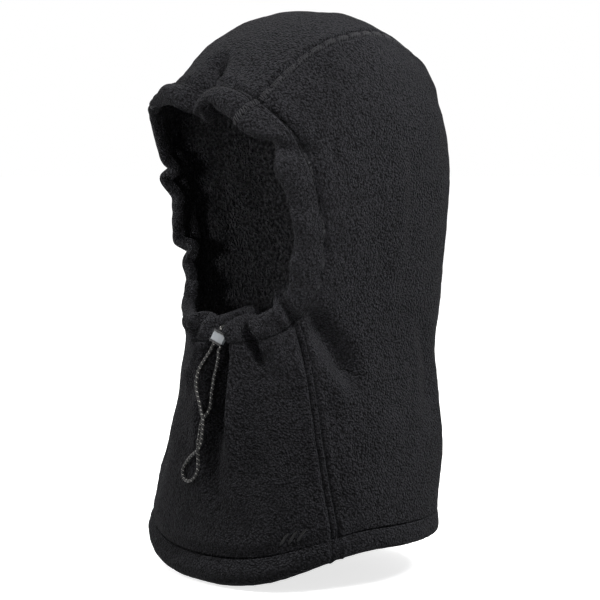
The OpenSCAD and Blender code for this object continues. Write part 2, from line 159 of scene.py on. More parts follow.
def back_angle(x, z):
    return np.where(np.asarray(x) < 0, -180, 180) - front_angle(x, z)


def hem_rise(y):
    t = np.clip((y + 96) / 80, 0, 1)
    return HEM_RISE * (1 - (1 - t) ** 2.6) ** 1.35


def skirt(th, h):
    """The same by the height above the neck hem, which rises towards the back."""
    h = np.asarray(h, float)
    return skin(th, h + np.maximum(0, 1 - h / 120) * hem_rise(skin(th, h)[..., 1]))


def above_hem(p):
    """The height above the neck hem of surface points, where it is under 120."""
    rise = hem_rise(p[..., 1])
    return (p[..., 2] - rise) / (1 - rise / 120)


def oval_radius(c, s, q):
    """How far the oval at q is from the opening's middle, towards a cosine and a sine."""
    rx, rz = FACE_W + TUNNEL_W * q, FACE_H + TUNNEL_H * q
    return ((np.abs(c) / rx) ** OVAL_POWER + (np.abs(s) / rz) ** OVAL_POWER) ** (-1 / OVAL_POWER)


def oval(a, q):
    """A point around the face: q is 0 at the folded edge and 1 at the tunnel's outer edge."""
    c, s = np.cos(np.radians(a)), np.sin(np.radians(a))
    r = oval_radius(c, s, q)
    x, z = r * c, FACE_Z - STITCH_DROP * q + r * s
    return skin(front_angle(x, z), z)


def face_place(p):
    """The angle and the q of surface points, as seen from the front."""
    x, z = p[..., 0], p[..., 2]
    q = np.ones_like(x)
    for _ in range(4):
        dz = z - (FACE_Z - STITCH_DROP * q)
        a = np.arctan2(dz, x)
        inner, outer = [oval_radius(np.cos(a), np.sin(a), k) for k in (0, 1)]
        q = np.clip((np.hypot(x, dz) - inner) / (outer - inner), -1, 9)
    return np.degrees(a) % 360, q


def fullness(p):
    x, y, z = p[..., 0], p[..., 1], p[..., 2]
    f = np.abs(x / half_w(z)) ** ROUNDNESS + np.abs((y - mid_y(z)) / half_d(z)) ** ROUNDNESS
    return np.where(z > TOP_Z - 0.1, 9.0, f)


def outward(p):
    """The way out of the unpleated surface."""
    step = 0.4
    grad = np.stack([fullness(p + step * e) - fullness(p - step * e) for e in np.eye(3)], -1)
    near_top = ease((p[..., 2:] - 409) / 5)
    return unit(unit(grad) * (1 - near_top) + near_top * np.array((0, 0, 1)))


def along_ray(start, way, low, high):
    """The point of each ray that is on the surface."""
    lo, hi = np.full(way.shape[:-1], float(low)), np.full(way.shape[:-1], float(high))
    for _ in range(32):
        m = (lo + hi) / 2
        out = fullness(start + way * m[..., None]) > 1
        hi, lo = np.where(out, m, hi), np.where(out, lo, m)
    return start + way * ((lo + hi) / 2)[..., None]


def project(p):
    """Each point moved away from the hood's inner axis onto the unpleated surface."""
    z = p[..., 2]
    start = np.stack([0 * z, 0 * z + AXIS_Y, np.minimum(z, AXIS_Z)], -1)
    return along_ray(start, p - start, 0.3, 8)


def over(x, a):
    """The surface point at an x and an angle about the crown panel's axis."""
    c, s = np.cos(np.radians(a)), np.sin(np.radians(a))
    start = np.stack([x, 0 * x + AXIS_Y, 0 * x + AXIS_Z], -1)
    return along_ray(start, np.stack([0 * x, -c, s], -1), 30, 260)


def axis_angle(p):
    return 180 - np.degrees(np.arctan2(p[..., 2] - AXIS_Z, p[..., 1] - AXIS_Y))


# ---- seam lines ----

MIRROR = np.array((-1.0, 1.0, 1.0))


def crown_line():
    """The left crown seam, from the tunnel down to the neck, and how many points reach the nape."""
    brow_z = FACE_Z - STITCH_DROP + (FACE_H + TUNNEL_H) * (
        1 - (BROW_HALF / (FACE_W + TUNNEL_W)) ** OVAL_POWER) ** (1 / OVAL_POWER)
    first = axis_angle(skin(front_angle(BROW_HALF, brow_z), brow_z))
    last = axis_angle(skin(back_angle(38, NAPE_Z), NAPE_Z))
    turn = np.linspace(first, last, 220)
    top = over(np.interp(turn, CROWN_HALF[:, 0], CROWN_HALF[:, 1]), turn)
    h = np.linspace(NAPE_Z - 3, 0, 60)
    nape = skirt(back_angle(np.interp(h, NAPE_HALF[:, 0], NAPE_HALF[:, 1]), h), h)
    return np.vstack([top, nape]), len(top)


def front_line():
    """The left front seam, from the neck hem's edge up to the tunnel."""
    h = np.linspace(0, FRONT_SEAM[-1, 0], 100)
    return skirt(front_angle(np.interp(h, FRONT_SEAM[:, 0], FRONT_SEAM[:, 1]), h), h)


def oval_angle(x, z):
    return math.degrees(math.atan2(z - (FACE_Z - STITCH_DROP), x))


CROWN, CROWN_TURN = crown_line()
FRONT = front_line()
BROW_A = oval_angle(CROWN[0, 0], CROWN[0, 2])
JAW_A = oval_angle(FRONT[-1, 0], FRONT[-1, 2])
# Both seams run on across the tunnel to the folded edge, in TAIL steps.
TAIL = 8
BROW_TAIL = oval(np.full(TAIL + 1, BROW_A), np.linspace(0, 1, TAIL + 1))
JAW_TAIL = oval(np.linspace(JAW_A, JAW_A + 5, TAIL + 1), np.linspace(1, 0, TAIL + 1))
LEFT_CROWN = np.vstack([BROW_TAIL[:-1], CROWN])
LEFT_FRONT = np.vstack([FRONT, JAW_TAIL[1:]])


# Points further than REACH outside a line's box count as far from it; AT_ONCE points are compared
# with a line at a time.
REACH, AT_ONCE = 30, 3000


def distance_along(line):
    """How far each point of a line is from its start."""
    return np.concatenate([[0], np.cumsum(np.linalg.norm(np.diff(line, axis=0), axis=1))])


def line_gap(p, line):
    """How far each point is from a line of points, and at which share of its length."""
    flat = p.reshape(-1, 3)
    a, d = line[:-1], np.diff(line, axis=0)
    size = np.maximum((d * d).sum(1), 1e-9)
    length = np.sqrt(size)
    start = distance_along(line)[:-1] / length.sum()
    gap, share = np.full(len(flat), 99.0), np.zeros(len(flat))
    near = np.flatnonzero(((flat > line.min(0) - REACH) & (flat < line.max(0) + REACH)).all(1))
    for part in np.array_split(near, len(near) // AT_ONCE + 1):
        if not len(part):
            continue
        v = flat[part, None] - a
        t = np.clip((v * d).sum(2) / size, 0, 1)
        g = np.linalg.norm(v - t[..., None] * d, axis=2)
        k = g.argmin(1)
        i = np.arange(len(part))
        gap[part] = g[i, k]
        share[part] = start[k] + t[i, k] * length[k] / length.sum()
    return gap.reshape(p.shape[:-1]), share.reshape(p.shape[:-1])


# ---- folds, seams and gathers ----

SEAM_LINES = [
    LEFT_CROWN[::2], LEFT_CROWN[::2] * MIRROR, LEFT_FRONT[::2], LEFT_FRONT[::2] * MIRROR]
# Around the face: the angle, the share of the tunnel's width at which the roll ends, how far the
# filled tunnel swells, and how crisp its stitched edge is.
ROLL = np.array([
    (0, 0.87, 4.2, 1), (15, 0.90, 4.2, 1), (30, 0.93, 4.4, 1), (45, 0.96, 4.6, 1), (60, 1.02, 5, 0.8),
    (78, 1.14, 5.5, 0.15), (125, 1.14, 5.5, 0.15), (150, 0.96, 4.2, 0.7), (200, 0.95, 3.6, 1),
    (225, 0.92, 3, 1), (255, 0.90, 2.2, 0.6), (285, 0.90, 2.6, 0.6), (300, 0.92, 3.6, 0.6),
    (312, 0.86, 3.8, 0.8), (330, 0.72, 4, 1), (345, 0.79, 4.2, 1), (360, 0.87, 4.2, 1)])


def stitch_share(a):
    return np.interp(np.asarray(a) % 360, ROLL[:, 0], ROLL[:, 1])


# Each needle line's distance from the middle of its seam.
NEEDLE_GAP = 2.3


def seam_relief(gap):
    """A flat-felled seam: a raised strip between two needle lines, and the edge in its middle."""
    strip = 0.8 * ease((NEEDLE_GAP + 1 - gap) / 1.2)
    needles = -2.8 * hump((gap - NEEDLE_GAP) / 0.8)
    edge = -0.3 * hump(gap / 0.5)
    puff = 0.9 * hump((gap - NEEDLE_GAP - 3.6) / 2.6)
    return strip + needles + edge + puff


def roll_height(a, q):
    """The tunnel stands up from its stitches as a soft roll, and the cloth behind them puffs."""
    share, swell, crisp = [np.interp(a % 360, ROLL[:, 0], ROLL[:, k]) for k in (1, 2, 3)]
    w = np.clip(q / share, 0, 1)
    power = 2 + 0.6 * crisp
    roll = swell * (1 - np.abs(1 - 2 * w) ** power) ** 0.8
    roll += 0.9 * crisp * ease((1 - w) / 0.06) * ease(w / 0.3)
    groove = -3.4 * hump((q - share - 0.015) / 0.045) - 0.8 * hump((q - share + 0.15) / 0.04)
    return roll + crisp * groove + 1.5 * hump((q - share - 0.27) / 0.2)


# Soft folds as lines over the surface: points, height (a valley is below 0) and half width. A fold
# fades at both ends, or at its last end alone where it is marked OPEN.
OPEN = True
FOLDS = [
    ([(-2, -96, 350), (1, -93, 356), (2, -89, 361), (2, -83, 368), (0, -75, 377), (-3, -66, 385)],
     -11, 7, OPEN),
    ([(-12, -90, 358), (-15, -84, 366), (-18, -76, 374)], 2, 8),
    ([(10, -87, 363), (21, -85, 363), (32, -86, 357), (40, -85, 351)], -3, 4),
    ([(63, -49, 368), (68, -39, 368), (73, -30, 366), (78, -21, 360)], -1, 4),
    ([(-5, -82, 194), (-8, -81, 182), (-14, -82, 168), (-24, -81, 151), (-30, -83, 128)], 6, 5),
    ([(-36, -74, 196), (-35, -73, 184), (-33, -73, 172)], 3, 5),
    ([(22, -82, 186), (23, -84, 165), (24, -86, 142), (26, -88, 116), (30, -90, 80)], 7, 4.5, OPEN),
    ([(23, -80, 200), (23, -79, 187), (25, -80, 168)], 5, 5, OPEN),
    ([(38, -72, 192), (45, -69, 182), (52, -65, 168), (57, -62, 150)], 4.5, 8),
    ([(46, -68, 195), (52, -63, 189), (58, -57, 181)], -2.6, 5),
    ([(54, -62, 209), (57, -58, 199), (59, -54, 188), (63, -51, 170), (68, -50, 150)], -4, 3, OPEN),
    ([(62, -54, 206), (68, -42, 190), (75, -31, 174), (82, -22, 156), (87, -20, 138)], -14.5, 9),
    ([(69, -44, 169), (76, -38, 155), (84, -32, 139), (90, -28, 122)], 2, 8),
    ([(28, -87, 116), (31, -88, 92), (30, -91, 63), (25, -93, 42)], 2, 9),
    ([(2, -80, 112), (8, -86, 92), (14, -91, 70), (24, -93, 44)], -3, 9),
    ([(62, -67, 122), (70, -69, 94), (77, -70, 67)], -1.2, 9),
    ([(89, 17, 332), (90, 19, 299), (89, 23, 262), (85, 22, 225), (83, 14, 190)], 3, 9),
    ([(90, 4, 305), (90, 9, 272), (89, 13, 250), (86, 12, 222)], 1.3, 6),
    ([(-60, -64, 152), (-68, -66, 120), (-75, -67, 88), (-81, -68, 55)], -5, 17),
    ([(58, 90, 168), (63, 85, 145), (73, 75, 112), (85, 65, 75), (90, 62, 50)], 5, 20),
    ([(58, 96, 345), (53, 86, 367), (44, 72, 387)], 3, 16),
    ([(81, 51, 205), (80, 56, 178), (80, 64, 150), (86, 58, 124), (97, 34, 110)], -4, 10),
    ([(-64, -48, 190), (-72, -34, 172), (-84, -14, 150)], -4, 8),
    ([(-72, 74, 156), (-84, 52, 140), (-93, 36, 122)], -3.5, 8),
    ([(-89, 0, 320), (-89, 8, 270), (-84, 12, 215)], 1.6, 10),
    ([(-30, 108, 150), (0, 116, 144), (32, 108, 150)], -2.5, 9),
    ([(-60, -70, 120), (-66, -66, 80), (-70, -64, 40)], -1.8, 12)]

# Deep narrow folds with steep walls, in the same way.
CREASES = [
    ([(8, -80, 182), (8, -80, 162), (9, -81, 142), (10, -84, 122), (11, -86, 102)], -19, 9.5, OPEN),
    ([(3, -80, 172), (-1, -81, 152), (-2, -83, 132), (1, -85, 108)], -8, 8),
    ([(-16, -78, 194), (-20, -78, 184), (-24, -77, 176), (-27, -77, 164)], -11, 5, OPEN),
    ([(30, -79, 199), (32, -76, 186), (35, -73, 175), (39, -72, 166), (44, -70, 157)], -14, 3.2, OPEN)]

# Gathers around the face: angle, q, their spreads, then the push outwards from the cloth and the
# push away from the middle of the opening.
GATHERS = [
    (122, 0.1, 15, 0.75, 7, 7), (106, 0.5, 8, 0.6, 5, 5), (72, 0.5, 10, 0.6, 6, 4),
    (84, 0.05, 5, 0.3, 3, -2), (77, -0.05, 3.5, 0.3, -2, 6), (54, 0.2, 9, 0.6, 4, -4.5),
    (40, 0, 5.5, 0.45, -5, 7), (30, 0.15, 8, 0.5, 2, -4), (356, 0.3, 16, 0.5, 1, 0.5),
    (331, 0, 10, 0.6, 1, -6), (161, 0.1, 4.2, 0.5, 3.5, 3), (152, 0, 3.2, 0.45, -4, -3),
    (171, 0.1, 5, 0.6, -5, -1.5), (178, 0, 9, 0.5, -2, -1.5), (197, 0, 5, 0.4, 3, 2.5),
    (206, 0, 4.5, 0.6, -7, -5), (221, 0.2, 10, 0.6, -6, -4), (289, 0.1, 5, 0.6, 3, -2),
    (303, 0.1, 6, 0.6, 3, -1), (252, 0.4, 7, 0.6, 3, -2)]
# Valleys across the tunnel: angle at the folded edge, angle at the far end, depth and half width.
TUCK_END = 1.3
TUCKS = [(94, 84, 10, 4.2), (41, 31, 5.5, 5), (9, 6, 1.6, 6), (313, 306, 4, 3.2), (153, 156, 4, 3.2),
         (205, 203, 4, 4), (262, 260, 3, 4), (276, 275.5, 6, 5), (345, 343, 1.2, 6), (180, 180, 1.6, 5)]


def wave_field(length, seed):
    """A smooth field of waves of one length, about -1 to 1."""
    rng = np.random.default_rng(seed)
    ways = unit(rng.normal(size=(7, 3))) * (TURN / length)
    ways *= rng.uniform(0.75, 1.3, (7, 1))
    turns = rng.uniform(0, TURN, 7)
    return lambda p: np.sin(p @ ways.T + turns).sum(-1) / 3


# Slow unevenness of the cloth: height, and length with its seed.
WAVES = [(0.8, wave_field(95, 3)), (0.35, wave_field(38, 5)), (0.16, wave_field(14, 7)),
         (0.09, wave_field(6.5, 11))]


# The bars: height above the hem, own height, x of the first, distance apart, and lean.
BAR_FOOT, BAR_TALL, BAR_X, BAR_STEP, BAR_LEAN = 27, 8, 70.3, 5.4, 4.4


def bar_place(bar, up, beside_it):
    """A point of an embroidered bar on the plain surface."""
    h = BAR_FOOT + BAR_TALL * np.asarray(up, float)
    return skirt(front_angle(BAR_X + BAR_STEP * bar + BAR_LEAN * up + beside_it, h), h)


def bar_dents(p):
    """The embroidery pulls the cloth in around each bar."""
    gaps = [line_gap(p, bar_place(bar, np.linspace(0, 1, 6), 0.0))[0] for bar in range(3)]
    return -0.9 * np.exp(-(np.minimum.reduce(gaps) / 2.5) ** 3)


def fold_heights(p, folds, steepness):
    total = np.zeros(p.shape[:-1])
    for points, height, half, *open_end in folds:
        line = project(np.array(points, float))
        gap, share = line_gap(p, line)
        ends = ease((1 - share) / 0.35) * (1 if open_end else ease(share / 0.35))
        total += height * ends * np.exp(-(gap / half) ** steepness)
    return total


def tuck_heights(p):
    total = np.zeros(p.shape[:-1])
    for inner, outer, depth, half in TUCKS:
        share = np.linspace(0, TUCK_END, 8)
        line = oval(inner + (outer - inner) * share / TUCK_END, share)
        gap, along = line_gap(p, line)
        total -= depth * ease((1 - along) / 0.4) * hump(gap / half)
    return total


def hem_roll(p):
    """The neck hem rolls out below its stitches and the cloth puffs above, most at the front."""
    h = above_hem(p)
    front = ease((20 - p[..., 1]) / 110)
    roll = (0.4 + 1.8 * front) * hump((h - 9) / 8)
    groove = -(0.15 + 1.2 * front) * hump((h - 20) / (2.5 + 3.5 * front))
    return roll + groove + 0.8 * front * hump((h - 30) / 6) - 2.2 * front * hump(h / 5)


def at_front(p):
    """1 on the face's side of the hood, 0 from the ears back."""
    return ease((-20 - p[..., 1]) / 25)


def detail(p):
    """How far the cloth stands out from the plain surface."""
    total = sum(size * wave(p) for size, wave in WAVES)
    for line in SEAM_LINES:
        total = total + seam_relief(line_gap(p, line)[0])
    a, q = face_place(p)
    total += at_front(p) * (roll_height(a, q) + tuck_heights(p))
    total += fold_heights(p, FOLDS, 2) + fold_heights(p, CREASES, 3.2)
    return total + hem_roll(p) + bar_dents(p)


def gathers(p, n):
    """The gathered cloth's push, along the cloth's normal n and away from the opening's middle."""
    a, q = face_place(p)
    turn = np.radians(a)
    away = np.stack([np.cos(turn), 0 * turn, np.sin(turn)], -1)
    away = unit(away - n * (away * n).sum(-1, keepdims=True))
    push = np.zeros(p.shape)
    for angle, at_q, spread, q_spread, lift, pull in GATHERS:
        turned = (a - angle + 180) % 360 - 180
        size = hump(turned / spread) * hump((q - at_q) / q_spread)
        push += size[..., None] * (lift * n + pull * away)
    return push * at_front(p)[..., None]


def placed(p):
    """Where a point of the plain surface is on the finished hood."""
    n = outward(p)
    moved = p + n * detail(p)[..., None] + gathers(p, n)
    facing = signed_power((mid_y(p[..., 2]) - p[..., 1]) / half_d(p[..., 2]), ROUNDNESS / 2)
    moved[..., 1] += np.maximum(0, facing) * pleat(p[..., 0], p[..., 2])
    return moved


# ---- meshes ----

def put_in_scene(name, data, place=None, aim=None):
    """A new object; a camera or a light stands at its place and faces its aim."""
    obj = bpy.data.objects.new(name, data)
    bpy.context.scene.collection.objects.link(obj)
    if place is not None:
        obj.location = place
        obj.rotation_euler = (Vector(aim) - Vector(place)).to_track_quat("-Z", "Y").to_euler()
    return obj


def mesh_piece(name, points, quads, materials, inside=None, uv=None):
    """A mesh from points in millimetres.

    inside is 1 for a quad of the second material, 2 for a cut edge, which is shaded flat.
    """
    mesh = bpy.data.meshes.new(name)
    mesh.from_pydata((points * MM).tolist(), [], quads.tolist())
    inside = np.zeros(len(quads)) if inside is None else inside
    mesh.polygons.foreach_set("use_smooth", inside < 2)
    for m in materials:
        mesh.materials.append(m)
    mesh.polygons.foreach_set("material_index", (inside == 1).astype(np.int32))
    if uv is not None:
        mesh.uv_layers.new(name="UVMap").data.foreach_set("uv", uv.astype(np.float32).ravel())
    mesh.update()
    mesh.validate()
    return put_in_scene(name, mesh)


def grid_quads(rows, cols, wrap_rows=False, wrap_cols=False):
    i = np.arange(rows if wrap_rows else rows - 1)[:, None]
    j = np.arange(cols if wrap_cols else cols - 1)[None, :]
    i2, j2 = (i + 1) % rows, (j + 1) % cols
    return np.stack([i * cols + j, i * cols + j2, i2 * cols + j2, i2 * cols + j], -1).reshape(-1, 4)


def grid_normals(g, wrap_rows=False):
    down = np.roll(g, -1, 0) - np.roll(g, 1, 0) if wrap_rows else np.gradient(g, axis=0)
    return unit(np.cross(np.gradient(g, axis=1), down))


def facing_out(normals, plain):
    """Normals, all turned over where they point into the hood."""
    return -normals if (normals * outward(plain)).sum() < 0 else normals


def sheet_parts(grid, plain, thickness):
    """Points and quads of a panel whose outer face is the grid, and which quads are inside."""
    n = facing_out(grid_normals(grid), plain)
    rows, cols = grid.shape[:2]
    outer = grid_quads(rows, cols)
    count = rows * cols
    index = np.arange(count).reshape(rows, cols)
    rim = np.concatenate([index[0, :-1], index[:-1, -1], index[-1, :0:-1], index[:0:-1, 0]])
    after = np.roll(rim, -1)
    sides = np.stack([rim, after, after + count, rim + count], -1)
    a, b, c = grid.reshape(-1, 3)[outer[len(outer) // 2, :3]]
    if np.dot(np.cross(b - a, c - b), n.reshape(-1, 3)[outer[len(outer) // 2, 0]]) < 0:
        outer = outer[:, ::-1]
    else:
        sides = sides[:, ::-1]
    quads = np.vstack([outer, outer[:, ::-1] + count, sides])
    inner = grid - n * thickness
    inside = np.repeat([0, 1, 2], [len(outer), len(outer), len(sides)])
    return np.vstack([grid.reshape(-1, 3), inner.reshape(-1, 3)]), quads, inside


def joined(parts):
    """Several sets of points and quads as one."""
    base = np.cumsum([0] + [len(p[0]) for p in parts])
    return np.vstack([p[0] for p in parts]), np.vstack([p[1] + b for p, b in zip(parts, base)])


def spread(count, crowd):
    """Shares from 0 to 1, closer together at both ends."""
    t = np.linspace(0, 1, count)
    return t - crowd * np.sin(TURN * t) / TURN


def resample(line, shares):
    at = distance_along(line)
    return np.stack([np.interp(shares * at[-1], at, line[:, k]) for k in range(3)], -1)


def coons(low, high, first, last, u, v):
    """A patch on the plain surface between four lines. low and high run from first to last."""
    b, t = resample(low, u), resample(high, u)
    f, l = resample(first, v), resample(last, v)
    u, v = u[None, :, None], v[:, None, None]
    patch = ((1 - v) * b[None] + v * t[None] + (1 - u) * f[:, None] + u * l[:, None]
             - (1 - u) * (1 - v) * b[0] - u * (1 - v) * b[-1] - (1 - u) * v * t[0] - u * v * t[-1])
    return project(patch)


def hem_line(start, end):
    return skirt(np.linspace(start, end, 200), HEM_W)


def from_hem(line):
    """The part of a seam line above the neck hem's stitches; the line starts at the hem's edge."""
    share = np.interp(HEM_W, above_hem(line[:40]), np.arange(40))
    first = np.array([[np.interp(share, np.arange(len(line)), line[:, k]) for k in range(3)]])
    return np.vstack([first, line[int(share) + 1:]])


FRONT_UP = from_hem(FRONT)
NAPE_UP = from_hem(CROWN[::-1])
# Where the two seams meet the neck hem's stitches.
NAPE_TURN = float(back_angle(NAPE_UP[0, 0], HEM_W))
JAW_TURN = float(front_angle(FRONT_UP[0, 0], HEM_W))


def crown_grid():
    seam = NAPE_UP[::-1]
    brow = oval(np.linspace(180 - BROW_A, BROW_A, 160), 1.0)
    back = hem_line(360 - NAPE_TURN, NAPE_TURN)
    return coons(brow, back, seam * MIRROR, seam, spread(90, 0.55), spread(330, 0.25))


def side_grid():
    split = 150
    cheek = oval(np.linspace(JAW_A, BROW_A, 200), 1.0)
    first = np.vstack([FRONT_UP, cheek[1:]])
    last = np.vstack([NAPE_UP[:len(NAPE_UP) - CROWN_TURN], CROWN[CROWN_TURN - 1:split - 1:-1]])
    hem = hem_line(JAW_TURN, NAPE_TURN)
    return coons(hem, CROWN[:split + 1], first, last, spread(150, 0.5), spread(240, 0.45))


def front_grid():
    hem = hem_line(-JAW_TURN, JAW_TURN)
    chin = oval(np.linspace(-180 - JAW_A, JAW_A, 200), 1.0)
    return coons(hem, chin, FRONT_UP * MIRROR, FRONT_UP, spread(170, 0.4), spread(120, 0.25))


# ---- materials ----

def new_material(name):
    m = bpy.data.materials.new(name)
    m.use_nodes = True
    return m, m.node_tree


def node(tree, kind, **values):
    """A node with its sockets linked or set, and its own settings."""
    made = tree.nodes.new("ShaderNode" + kind)
    for key, value in values.items():
        if isinstance(value, bpy.types.NodeSocket):
            tree.links.new(value, made.inputs[key])
        elif key in made.inputs:
            made.inputs[key].default_value = value
        else:
            setattr(made, key, value)
    return made


def object_coords(tree):
    return node(tree, "TexCoord").outputs["Object"]


def noise(tree, coords, scale, detail_level=2.0, rough=0.5):
    return node(tree, "TexNoise", Vector=coords, Scale=scale, Detail=detail_level,
                Roughness=rough).outputs["Fac"]


def maths(tree, kind, a, b=None):
    made = node(tree, "Math", operation=kind)
    for k, value in enumerate((a, b)):
        if isinstance(value, (int, float)):
            made.inputs[k].default_value = value
        elif value is not None:
            tree.links.new(value, made.inputs[k])
    return made.outputs[0]


def ramp(tree, fac, stops):
    made = node(tree, "ValToRGB", Fac=fac)
    elements = made.color_ramp.elements
    elements.remove(elements[1])
    elements[0].position, elements[0].color = stops[0][0], (*stops[0][1], 1)
    for at, colour in stops[1:]:
        elements.new(at).color = (*colour, 1)
    return made.outputs["Color"]


def tinted(colour, k):
    return tuple(c * k for c in colour)


def bumped(tree, height, strength, distance):
    relief = node(tree, "Bump", Height=height, Strength=strength, Distance=distance)
    tree.links.new(relief.outputs["Normal"], tree.nodes["Principled BSDF"].inputs["Normal"])


def coated(tree, fac, stops, settings):
    """Ramps a value into the shader's colour and sets its other inputs."""
    shader = tree.nodes["Principled BSDF"]
    tree.links.new(ramp(tree, fac, stops), shader.inputs["Base Color"])
    for key, value in settings.items():
        shader.inputs[key].default_value = value


def fleece(name, colour, pile_scale, pile_shade_and_highlight):
    """Brushed fleece: small curled tufts over a slow mottle, and a soft sheen; painted shade darkens
    the gaps between tufts and painted highlight lightens their tops.
    """
    m, tree = new_material(name)
    coords = object_coords(tree)
    bend = node(tree, "TexNoise", Vector=coords, Scale=pile_scale * 0.7, Detail=1.0)
    warp = node(tree, "VectorMath", operation="MULTIPLY_ADD")
    tree.links.new(bend.outputs["Color"], warp.inputs[0])
    warp.inputs[1].default_value = [1.1 / pile_scale] * 3
    tree.links.new(coords, warp.inputs[2])
    curls = node(tree, "TexVoronoi", feature="SMOOTH_F1", Vector=warp.outputs[0],
                 Scale=pile_scale, Smoothness=0.35)
    tufts = maths(tree, "MULTIPLY", noise(tree, coords, pile_scale * 1.1), 0.8)
    mottle = maths(tree, "MULTIPLY", noise(tree, coords, 45), 0.12)
    fibres = maths(tree, "MULTIPLY", noise(tree, coords, pile_scale * 4, rough=0.6), 0.12)
    round_tops = maths(tree, "SUBTRACT", 1.0, curls.outputs["Distance"])
    pile = maths(tree, "ADD", maths(tree, "MULTIPLY", round_tops, 0.6), tufts)
    # The colour follows the pile's height: painted shade in the gaps and painted highlight on the
    # tufts' tops; the mottle adds random tone.
    stops = [
        (0.55, tinted(colour, 1 - pile_shade_and_highlight)), (0.82, colour), (1.05, tinted(colour, 1 + pile_shade_and_highlight))]
    bumped(tree, maths(tree, "ADD", pile, fibres), 1.0, 0.0048)
    coated(tree, maths(tree, "ADD", pile, mottle), stops, {
        "Roughness": 0.95, "Specular IOR Level": 0.1, "Sheen Weight": 0.05, "Sheen Roughness": 0.4,
        "Sheen Tint": (0.78, 0.8, 0.88, 1)})
    return m


def thread_material(name, dark, light, roughness=0.8, specular=0.1):
    m, tree = new_material(name)
    twist = noise(tree, object_coords(tree), 1600)
    coated(tree, twist, [(0.3, dark), (0.75, light)], {
        "Roughness": roughness, "Specular IOR Level": specular})
    return m


def cord_material():
    """Black braided elastic with short pale flecks on a slow spiral."""
    m, tree = new_material("braided_elastic")
    split = node(tree, "SeparateXYZ", Vector=node(tree, "TexCoord").outputs["UV"])
    around, along = split.outputs["X"], split.outputs["Y"]
    climb = maths(tree, "MULTIPLY", along, 1 / 3.6)
    spiral = maths(tree, "FRACT", maths(tree, "ADD", climb, around))
    broken = maths(tree, "FRACT", maths(tree, "MULTIPLY", around, 4.0))
    fleck = maths(tree, "MULTIPLY", maths(tree, "LESS_THAN", spiral, 0.17),
                  maths(tree, "LESS_THAN", broken, 0.55))
    coated(tree, fleck, [(0.0, (0.010, 0.010, 0.010)), (1.0, (0.52, 0.51, 0.48))], {
        "Roughness": 0.6, "Specular IOR Level": 0.35})
    return m


def plastic(name, colour, roughness, coat, speckle):
    m, tree = new_material(name)
    coords = object_coords(tree)
    smear = noise(tree, coords, 260)
    bumped(tree, noise(tree, coords, 1500, 3.0, 0.6), speckle, 0.0001)
    coated(tree, smear, [(0.3, tinted(colour, 0.9)), (0.7, tinted(colour, 1.1))], {
        "Roughness": roughness, "Coat Weight": coat, "Coat Roughness": 0.08})
    return m


def steel_material():
    m, tree = new_material("spring_wire")
    drawn = noise(tree, object_coords(tree), 2500, rough=0.6)
    coated(tree, drawn, [(0.3, (0.42, 0.42, 0.44)), (0.7, (0.62, 0.62, 0.64))], {
        "Metallic": 1.0, "Roughness": 0.28})
    return m


def label_material():
    m, tree = new_material("satin_label")
    weave = node(tree, "TexWave", bands_direction="Z", Vector=object_coords(tree), Scale=900)
    stops = [(0.0, (0.6, 0.6, 0.57)), (1.0, (0.76, 0.76, 0.73))]
    coated(tree, weave.outputs["Fac"], stops, {"Roughness": 0.45})
    return m


# The last number of each fleece sets how strong the painted shade and highlight on its tufts are.
OUTSIDE = fleece("fleece_outside", (0.0185, 0.0182, 0.0208), 640, 0.9)
# The inside's fleece is the same fleece made over twice as light: painted light that stands in for the
# light that hardly reaches into the hood.
INSIDE_BRIGHTENED = fleece("fleece_inside_painted_light", (0.0420, 0.0420, 0.0450), 430, 0.7)
THREAD = thread_material("black_thread", (0.002, 0.002, 0.0025), (0.008, 0.008, 0.009))
LOOPER = thread_material("looper_thread", (0.022, 0.022, 0.024), (0.066, 0.065, 0.070), 0.6, 0.25)
SATIN = thread_material("satin_thread", (0.003, 0.003, 0.0035), (0.009, 0.009, 0.010), 0.5, 0.25)
CORD = cord_material()
LOCK_BLACK = plastic("glossy_black", (0.009, 0.009, 0.010), 0.22, 0.6, 0.2)
# The button's light grey is painted reflection: it stands in for a soft light's reflection on a glossy
# black face.
BUTTON_PAINTED_REFLECTION = plastic("grey_painted_reflection", (0.235, 0.253, 0.272), 0.38, 0.15, 0.35)
STEEL = steel_material()
LABEL = label_material()


# ---- fleece pieces ----

def attach(piece, cad_nodes, body="hood"):
    """Which CAD nodes the piece replaces, and its body; a piece given no body gets none."""
    if cad_nodes:
        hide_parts(*cad_nodes)
    if body:
        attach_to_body(piece, body)
    return piece


def panel(name, cad_node, plain):
    points, quads, inside = sheet_parts(placed(plain), plain, CLOTH)
    piece = attach(mesh_piece(name, points, quads, [OUTSIDE, INSIDE_BRIGHTENED], inside), [cad_node])


# The tunnel's section: q and depth, out along the outer layer, round the fold, back along the
# inner layer, then the hollow that the cord runs in.
TUNNEL_SKIN = [(1, 0), (0.86, 0), (0.72, -0.4), (0.5, -0.6), (0.25, -0.3), (0.07, 1.2), (0, 4.3),
               (0.07, 7.2), (0.25, 8.6), (0.5, 8.6), (0.72, 7.8), (0.86, 6.4), (1, 5.5)]
TUNNEL_HOLLOW = [(1, 2.9), (0.72, 5.2), (0.5, 6.0), (0.3, 6.0), (0.2, 4.3), (0.3, 2.0), (0.5, 1.6),
                 (0.72, 1.8), (1, 2.6)]
# The neck hem's section, in the same way.
HEM_SKIN = [(1, 0), (0.6, -0.5), (0.2, -0.6), (0.05, 0.9), (0, 2.75), (0.05, 4.6), (0.2, 5.5),
            (0.6, 5.5), (1.12, 5.6)]
HEM_HOLLOW = [(1.12, 3.0), (0.25, 2.9), (0.2, 2.75), (0.25, 2.6), (1, 2.6)]


